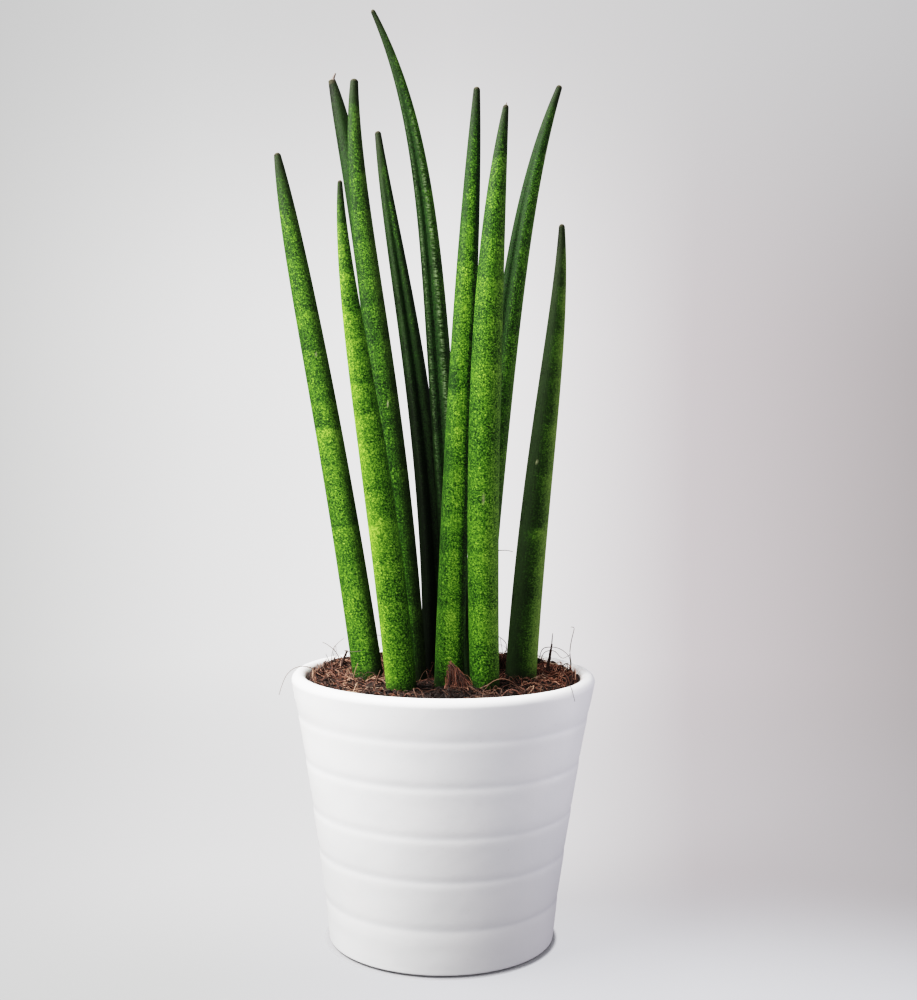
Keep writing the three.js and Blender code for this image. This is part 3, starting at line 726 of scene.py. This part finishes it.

# foot, lean, belly, hook, height, radius and tip in mm; faces is the channel's direction in
# degrees; lime is how pale the leaf is; side is painted light that makes it paler towards the right, top
# darker towards the tip, end darker just below it, the next a painted highlight along the middle, the next
# painted shade along the right edge; grey dulls it and the one after it is painted shade on its right half;
# dash is how strong the dashes are
leaves = table("foot lean belly hook height radius taper point tip faces "
               "lime side top end crest crease grey bronze dash",
    farLeft=((-35.1, 8), (-47.2, 14), (2.3, 2), 1.9, 245, 7.4, 0.35, 7.2, 1.7, 20,
        -0.15, 0.1, 0.1, 0.08, 0, 0, 0, 0.85, 0.1),
    frontLeft=((-18.8, -20), (-34.4, -22), (3.6, -3), 7.4, 220.5, 6.8, -0.1, 2.45, 1.1, 60,
        -0.05, -0.06, 0.05, 0.08, 0, 0, 0, 0.1, 0.1),
    backLeft=((-16, 33), (-35.7, 22), (1.5, 0), -5.9, 288.5, 6.7, 0.4, 14, 1.9, -55,
        -0.03, 0.37, 0.59, 0.14, 0, 0, 0.1, 0.4, 0.1),
    leftMiddle=((-14.6, 7), (-41, 6), (5.4, 2), 11.8, 277.5, 6.8, 0.12, 4, 1.9, 40,
        -0.36, 0.24, -0.13, 0.11, 0, 0, 0.05, 0.9, 0.1),
    darkBack=((-3.2, 24), (-37.5, 24), (8.7, 4), 6.3, 261.5, 6.85, 0.24, 3.3, 1.6, -85,
        -1.13, 0.42, -0.71, 0, 0, 0.35, 0.25, 0.1, 0.1),
    tallest=((10.15, 8), (-20.5, 4), (-3.2, 6), -24.6, 309, 6.75, 0.38, 4.3, 1.1, -105,
        -0.78, 0.43, -0.31, 0, 0, 0, 0.1, 0.4, 0.8),
    middleFront=((2.65, -8), (11, -12), (-1.5, -2), -1.2, 266, 6.9, 0.4, 5, 1.5, 80,
        -0.15, 0.21, 0.13, 0.24, 0.15, 0.34, 0, 0, 0.1),
    frontRight=((18.8, -17), (3.2, -24), (-3.2, -3), 2.4, 253.3, 6.7, -0.2, 4.1, 1.3, 30,
        -0.11, 0.19, 0.07, 0.08, 0, 0, 0, 0.45, 0.1),
    behindRight=((14.55, 28), (29.1, 24), (-1.8, 3), 10.9, 285.8, 7.05, 0.2, 4.6, 1.5, -120,
        -0.48, 0.43, -0.05, 0.08, 0, 0, 0, 0.5, 0.1),
    farRight=((35.9, 5), (21.9, -10), (-2.6, 2), -5.8, 208.8, 7.55, 0.27, 3.2, 1.4, 160,
        -0.29, 0.63, 0.04, 0, 0, 0, 0.6, 0.3, 0.1))


def leafRings(leaf):
    # the middle line leans, bellies as 4t(1-t) and hooks sideways as the sixth power of t;
    # the radius narrows by its taper and, near the tip, by a power of t; a shallow channel
    # runs up the side that it faces, and low ribs run round it
    form = leafShape
    height, tip, taper = leaf["height"], leaf["tip"], leaf["taper"]
    below = np.linspace(-form["buried"], -2, form["buriedRows"]) / height
    above = 1 - (1 - np.linspace(0, 1, form["rows"])) ** form["crowding"]
    t = np.concatenate([below, above])
    inAir = np.clip(t, 0, 1)
    middle = np.stack([foot + lean * t + belly * 4 * t * (1 - t)
                       for foot, lean, belly in zip(leaf["foot"], leaf["lean"], leaf["belly"])]
                      + [coir["level"] + height * t], axis=1)
    middle[:, 0] += leaf["hook"] * inAir ** form["hookPower"]
    radius = tip + (leaf["radius"] - tip) * (1 - taper * inAir - (1 - taper) * inAir ** leaf["point"])
    heel = smoothStep(-t * height, form["shoulder"], form["buried"])
    radius = radius * (1 - (1 - form["heelShare"]) * heel)
    along = unit(np.gradient(middle, t, axis=0))
    # the tip is closed by a dome
    rows = form["domeRows"]
    dome = np.linspace(0, 1, rows + 1)[1:] * math.pi / 2 * form["domeEnd"]
    domed = middle[-1] + along[-1] * form["tipPoint"] * np.sin(dome)[:, None]
    middle = np.concatenate([middle, domed])
    along = np.concatenate([along, np.repeat(along[-1:], rows, axis=0)])
    radius = np.concatenate([radius, tip * np.cos(dome)])
    t = np.concatenate([t, 1 + form["domeShare"] * np.sin(dome)])
    faces = math.radians(leaf["faces"])
    outward = spokes(along, (math.cos(faces), math.sin(faces), 0), form["sides"])
    turn = turns(form["sides"])
    away = np.minimum(turn, 2 * np.pi - turn)
    runOut, slope = form["channelEnd"]
    fade = np.clip((runOut - t) * slope, 0, 1)[:, None]
    channel = np.exp(-(away / form["channelWidth"]) ** 2)[None]
    ribs = form["ribDepth"] * np.cos(form["ribs"] * turn + leaf["faces"])[None] * fade
    radius = radius[:, None] * (1 - form["channelDepth"] * fade * channel) * (1 + ribs)
    return middle[:, None] + outward * radius[..., None], t, away[None], fade


# upper edge of each pale band of a leaf, in thousandths of its height, and then how strongly
# it shows, in hundredths
bandEdges = dict(
    farLeft=(35, 5, 178, 5, 221, 7, 286, 16, 351, 10, 406, 8, 476, 23, 524, 13, 569, 8, 624, 9, 702, 11,
        737, 7, 805, 7, 892, 17),
    frontLeft=(98, 5, 183, 12, 268, 12, 351, 13, 406, 13, 504, 10, 561, 14, 619, 15, 664, 10, 707, 11,
        757, 16, 827, 12, 925, 18),
    backLeft=(350, 10, 620, 12, 780, 10, 877, 12, 942, 5),
    leftMiddle=(120, 10, 308, 6, 353, 19, 409, 7, 481, 9, 569, 8, 627, 8, 679, 10, 734, 9, 787, 14,
        847, 11, 960, 9),
    darkBack=(200, 6, 469, 8, 589, 9, 667, 16, 747, 10, 875, 16, 932, 11),
    tallest=(150, 10, 378, 14, 486, 12, 609, 12, 742, 16, 860, 8, 940, 12),
    middleFront=(138, 8, 236, 10, 293, 8, 371, 11, 441, 11, 506, 22, 591, 10, 664, 7, 714, 15, 782, 12,
        842, 6, 925, 5),
    frontRight=(155, 7, 241, 6, 338, 8, 404, 8, 496, 7, 581, 9, 647, 8, 719, 14, 787, 10, 862, 9,
        920, 15),
    behindRight=(200, 10, 380, 8, 579, 9, 669, 11, 724, 9, 885, 10, 965, 7),
    farRight=(183, 12, 283, 8, 338, 18, 466, 13, 579, 11, 674, 10, 774, 8, 870, 13, 957, 9))


# the marks on the skin. Where a mark fades, it has its strength, where it starts to fade and
# where it is gone, in mm from the tip or as a share of the height from the foot
# painted light and shade among these: a highlight down the middle, shade along the right edge and on the
# right-facing half
leafTones = {
    "drift": (0.09, 17.0), "edge": 1.9, "edgeWave": (2.4, 4.0), "bandBold": 0.72,
    "ridge": (0.06, 0.62, 0.17), "hollow": (0.2, 0.36), "tipDark": (0.3, 0, 16), "endReach": (15, 75),
    # painted shade with dirt darkens and greys the feet
    "topReach": (0.2, 1), "feetShadeAndDirt": ((0.12, 0, 0.12), (0.2, 0, 0.035)), "crest": (-0.05, 0.4),
    "crease": (0.35, 0.75), "rightShadeSpan": (-0.1, 0.9), "footGrey": (0.45, 0, 0.04), "bloom": (0.4, 3, 50),
    "tipGrey": (0.4, 2, 14), "ridgeGrey": 0.15, "dashFrom": (0.22, 0.4), "dashShade": (-0.9, -0.1),
    "dryWave": (0.3, 1.4),
}


def bandTone(edges, height, share):
    # palest just under each edge, then steadily darker to the edge below; edges are short ramps
    half = leafTones["edge"] / 2 / height
    places = [edge / 1000 + side for edge in edges[::2] for side in (-half, half)]
    tones = [bold / 100 * side for bold in edges[1::2] for side in (1, -1)]
    return np.interp(share, places, tones)


def leafMarks(leaf, edges, rings, t, away, fade, seed):
    # lime makes the mottling paler and carries painted light and shade; grey is the bloom, and painted
    # shade on the right-facing half, that hide it; dash is the pale ridge's short dashes beside the
    # channel, dry is the dead end
    tones = leafTones
    share = np.clip(t, 0, 1)[:, None]
    toTip = (rings[-1, :, 2].mean() - rings[..., 2].mean(axis=1))[:, None]
    rightward = unit(rings - rings.mean(axis=1, keepdims=True))[..., 0]

    def faded(value, strength, low, high):
        return strength * fadeOut(value, low, high)

    ridgePale, place, width = tones["ridge"]
    ridge = np.exp(-((away - place) / width) ** 2) * fade
    hollowDark, width = tones["hollow"]
    hollow = np.exp(-(away / width) ** 2) * fade
    place, width = tones["crest"]
    crest = np.exp(-((rightward - place) / width) ** 2)
    drift, cell = tones["drift"]
    wave, waveCell = tones["edgeWave"]
    waved = share + wave * lattice(rings, waveCell, seed + 3) / leaf["height"]
    # painted light and shade in lime: side pales the right-facing side and darkens the left, a painted
    # highlight pales the middle, painted shade darkens the right edge
    lime = (leaf["lime"] + leaf["side"] * rightward + drift * lattice(rings, cell, seed)
            - hollowDark * hollow + ridgePale * ridge + leaf["crest"] * crest
            - leaf["crease"] * smoothStep(rightward, *tones["crease"]) - faded(toTip, *tones["tipDark"])
            - faded(toTip, leaf["end"], *tones["endReach"])
            - leaf["top"] * smoothStep(share, *tones["topReach"])
            # painted shade and dirt at the feet
            - sum(faded(share, *dark) for dark in tones["feetShadeAndDirt"])
            + tones["bandBold"] * bandTone(edges, leaf["height"], waved))
    # grey is the bloom, plus painted shade that dulls the right-facing half
    grey = (leaf["grey"] + leaf["bronze"] * smoothStep(rightward, *tones["rightShadeSpan"])
            + faded(share, *tones["footGrey"]) + faded(toTip, *tones["bloom"])
            + faded(toTip, *tones["tipGrey"]) + tones["ridgeGrey"] * (ridge - hollow))
    dash = (leaf["dash"] * ridge * smoothStep(share, *tones["dashFrom"])
            * (0.4 + 0.6 * smoothStep(rightward, *tones["dashShade"])))
    wave, waveCell = tones["dryWave"]
    dry = fadeOut(toTip + wave * lattice(rings, waveCell, seed + 9), 0, leafShape["dry"])
    return {"lime": lime, "grey": np.clip(grey, 0, 1), "dash": dash, "dry": dry}


leafFinish = {
    # the mottling's colours from dark to pale, the dulled ones, and those of the dead tip
    "greens": ((0.0, (0.006, 0.018, 0.003)), (0.3, (0.023, 0.062, 0.006)), (0.55, (0.06, 0.138, 0.013)),
               (0.8, (0.13, 0.245, 0.028)), (1.0, (0.225, 0.36, 0.06))),
    "dull": ((0.014, 0.018, 0.009), (0.074, 0.11, 0.03)), "dullFrom": (0.2, 0.9), "dullShare": 0.8,
    "dead": ((0.1, (0.012, 0.012, 0.006)), (0.75, (0.03, 0.028, 0.018)), (1.0, (0.22, 0.2, 0.14))),
    "dash": (0.11, 0.155, 0.08), "scar": (0.26, 0.27, 0.16), "shine": 0.07, "bump": (0.00022, 0.7),
    # each noise's stretch along x, y and z, then its scale, detail, roughness and distortion
    "noises": {"mottle": ((1, 1, 1.15), 1260, 2.5, 0.6, 0.8), "bands": ((16, 16, 82), 1.0, 3, 0.6, 0.5),
               "blots": ((1, 1, 0.6), 190, 2, 0.5, 0.3), "slow": ((1, 1, 0.12), 120, 2),
               "dashes": ((480, 480, 1600), 1.0, 2, 0.5, 0.3), "grain": ((1, 1, 1), 1900, 3, 0.7)},
    # how much of the bands and blots shows; the fine lines' number, how far they stray and show
    "bands": 0.35, "blots": 0.25, "lines": (34, 9.0, 0.008),
    # how bold the mottling is on dark and on pale bands, and under the bloom
    "bold": (2.35, 1.65), "underBloom": 0.42,
    # how far the single flecks darken and lighten, and how much of that is left in the dark
    "fleck": (0.82, 1.18), "fleckFrom": (-0.85, -0.25), "darkFleck": 0.22,
    # roughness of the skin, and what the mottling and the dead tip add to it
    "rough": (0.55, 0.2, 0.25),
}


def makeLeafSkin(skin):
    finish, tree, shader = startFinish("leafSkin", shine=skin["shine"])
    lime, grey, dash, dry, scar = (markOf(tree, name) for name in ("lime", "grey", "dash", "dry", "scar"))
    noise = {name: noiseOn(tree, objectCoords(tree, stretch), *shape)
             for name, (stretch, *shape) in skin["noises"].items()}
    # the mottling is boldest on the dark bands, and faint on the pale ones and under the bloom
    bold = times(tree, ease(tree, noise["bands"], 0.42, 0.68, *skin["bold"]),
                 ease(tree, grey, 0.0, 1.0, 1.0, skin["underBloom"]))
    value = times(tree, maths(tree, "SUBTRACT", noise["mottle"], 0.5), bold, 0.5)
    for name in ("bands", "blots"):
        value = times(tree, maths(tree, "SUBTRACT", noise[name], 0.5), skin[name], value)
    value = maths(tree, "ADD", value, lime)
    # fine lines run up the leaf: a whole number of them round it, shifted by a slow noise
    count, stray, show = skin["lines"]
    laid = addNode(tree, "TexCoord").outputs["UV"]
    sides = addNode(tree, "SeparateXYZ", {"Vector": laid})
    shift = times(tree, noise["slow"], stray)
    lines = maths(tree, "SINE", times(tree, sides.outputs["X"], 2 * math.pi * count, shift))
    value = times(tree, lines, show, value)
    dull = blend(tree, ease(tree, value, *skin["dullFrom"]), *skin["dull"])
    colour = blend(tree, times(tree, grey, skin["dullShare"]),
                   ramp(tree, value, skin["greens"]), dull)
    dashed = times(tree, dash, ease(tree, noise["dashes"], 0.44, 0.62))
    colour = blend(tree, dashed, colour, skin["dash"])
    fleck = times(tree, ease(tree, noise["mottle"], 0.3, 0.7, *skin["fleck"]),
                  ease(tree, value, *skin["fleckFrom"], skin["darkFleck"], 1.0))
    colour = blend(tree, 1.0, colour, fleck, "MULTIPLY")
    colour = blend(tree, scar, colour, skin["scar"])
    dryness = times(tree, dry, 0.7, times(tree, noise["grain"], 0.3))
    colour = blend(tree, ease(tree, dry, 0.02, 0.3), colour, ramp(tree, dryness, skin["dead"]))
    tree.links.new(colour, shader.inputs["Base Color"])
    plain, mottled, dead = skin["rough"]
    rough = times(tree, noise["mottle"], mottled, times(tree, dry, dead, plain))
    tree.links.new(rough, shader.inputs["Roughness"])
    relief = times(tree, lines, 0.12, times(tree, noise["mottle"], 0.8))
    relief = times(tree, dry, noise["grain"], relief)
    addBump(tree, shader, relief, *skin["bump"])
    return finish


# pale scars: share of the height, place round the leaf in turns from the channel, and size
# along and round it in mm
scars = {
    "behindRight": ((0.9, 0.3, 2.2, 1.1), (0.885, 0.27, 1.4, 0.9), (0.915, 0.31, 1.2, 0.8)),
    "frontRight": ((0.345, 0.661, 1.6, 0.3),),
    "farRight": ((0.489, 0.255, 0.45, 0.4),),
    "farLeft": ((0.616, 0.717, 0.3, 0.3),),
    "leftMiddle": ((0.461, 0.666, 0.28, 0.28),),
}

# the back left tip was cut off on a slant: mm below the tip, slope, and the browned lengths
cutTip = {"leaf": "backLeft", "below": 0.7, "slope": 0.3, "brown": (-3.4, -0.8), "rim": (-0.7, -0.1)}


def scarsOn(leaf, places, rings, t):
    # each scar is a ragged bell of its distance along and round the leaf
    turnShare = np.arange(leafShape["sides"]) / leafShape["sides"]
    ragged = 1 + 0.5 * lattice(rings, 0.9, 31)
    scarred = np.zeros(rings.shape[:2])
    for up, place, long, wide in places:
        apart = ((np.abs(turnShare - place) + 0.5) % 1 - 0.5) * 2 * math.pi * leaf["radius"]
        distance = ((t[:, None] - up) * leaf["height"] / long) ** 2 + (apart[None] / wide) ** 2
        scarred = np.maximum(scarred, np.exp(-distance * ragged))
    return scarred


leafSkin = makeLeafSkin(leafFinish)
for index, (name, leaf) in enumerate(leaves.items()):
    leafGrid, t, away, fade = leafRings(leaf)
    marks = leafMarks(leaf, bandEdges[name], leafGrid, t, away, fade, 100 + 7 * index)
    marks["scar"] = scarsOn(leaf, scars.get(name, ()), leafGrid, t)
    if name == cutTip["leaf"]:
        # the cut has dried to a pale rim
        fromEnd = leafGrid[..., 0] - leafGrid[-1, 0, 0]
        cut = leafGrid[-1, 0, 2] - cutTip["below"] + cutTip["slope"] * fromEnd
        above = leafGrid[..., 2] - cut
        marks["dry"] = 0.5 * (smoothStep(above, *cutTip["brown"]) + smoothStep(above, *cutTip["rim"]))
        leafGrid[..., 2] = np.minimum(leafGrid[..., 2], cut)
    addSurface("leaf_" + name, leafGrid[None], leafSkin, marks, [f"leaf_{index + 1:02d}"])

# dried threads at two tips
nibs = [
    (1.05, (-57.4, 54, 406.4), (-56.9, 54, 409.2), (-55.9, 54, 411.6)),
    (0.45, (24.5, -41, 373.2), (24.6, -41, 374.2), (24.8, -41, 375.0)),
]
nibPaths, nibRadii = threadTubes(nibs, 8, 1, 0.35)
nibRings = tubesAlong(nibPaths, nibRadii, 7, (0, 1, 0.1))
addSurface("leaf_nibs", nibRings, hairFinish, {"tone": 0.7})
print("leaves made")


# ---- the rhizome, under the coir

def makeRootSkin():
    finish, tree, shader = startFinish("rootSkin", 0.7)
    rings = noiseOn(tree, objectCoords(tree, (1, 1, 4)), 160, 3, 0.6)
    fine = noiseOn(tree, objectCoords(tree), 900, 3, 0.7)
    base = blend(tree, ease(tree, rings, 0.35, 0.65), (0.42, 0.22, 0.07), (0.62, 0.38, 0.15))
    base = blend(tree, ease(tree, fine, 0.6, 0.75), base, (0.14, 0.07, 0.04))
    tree.links.new(base, shader.inputs["Base Color"])
    addBump(tree, shader, times(tree, fine, 0.3, rings), 0.0006, 0.6)
    return finish


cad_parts["rhizome"].material_slots[0].material = makeRootSkin()
print("rhizome finished")
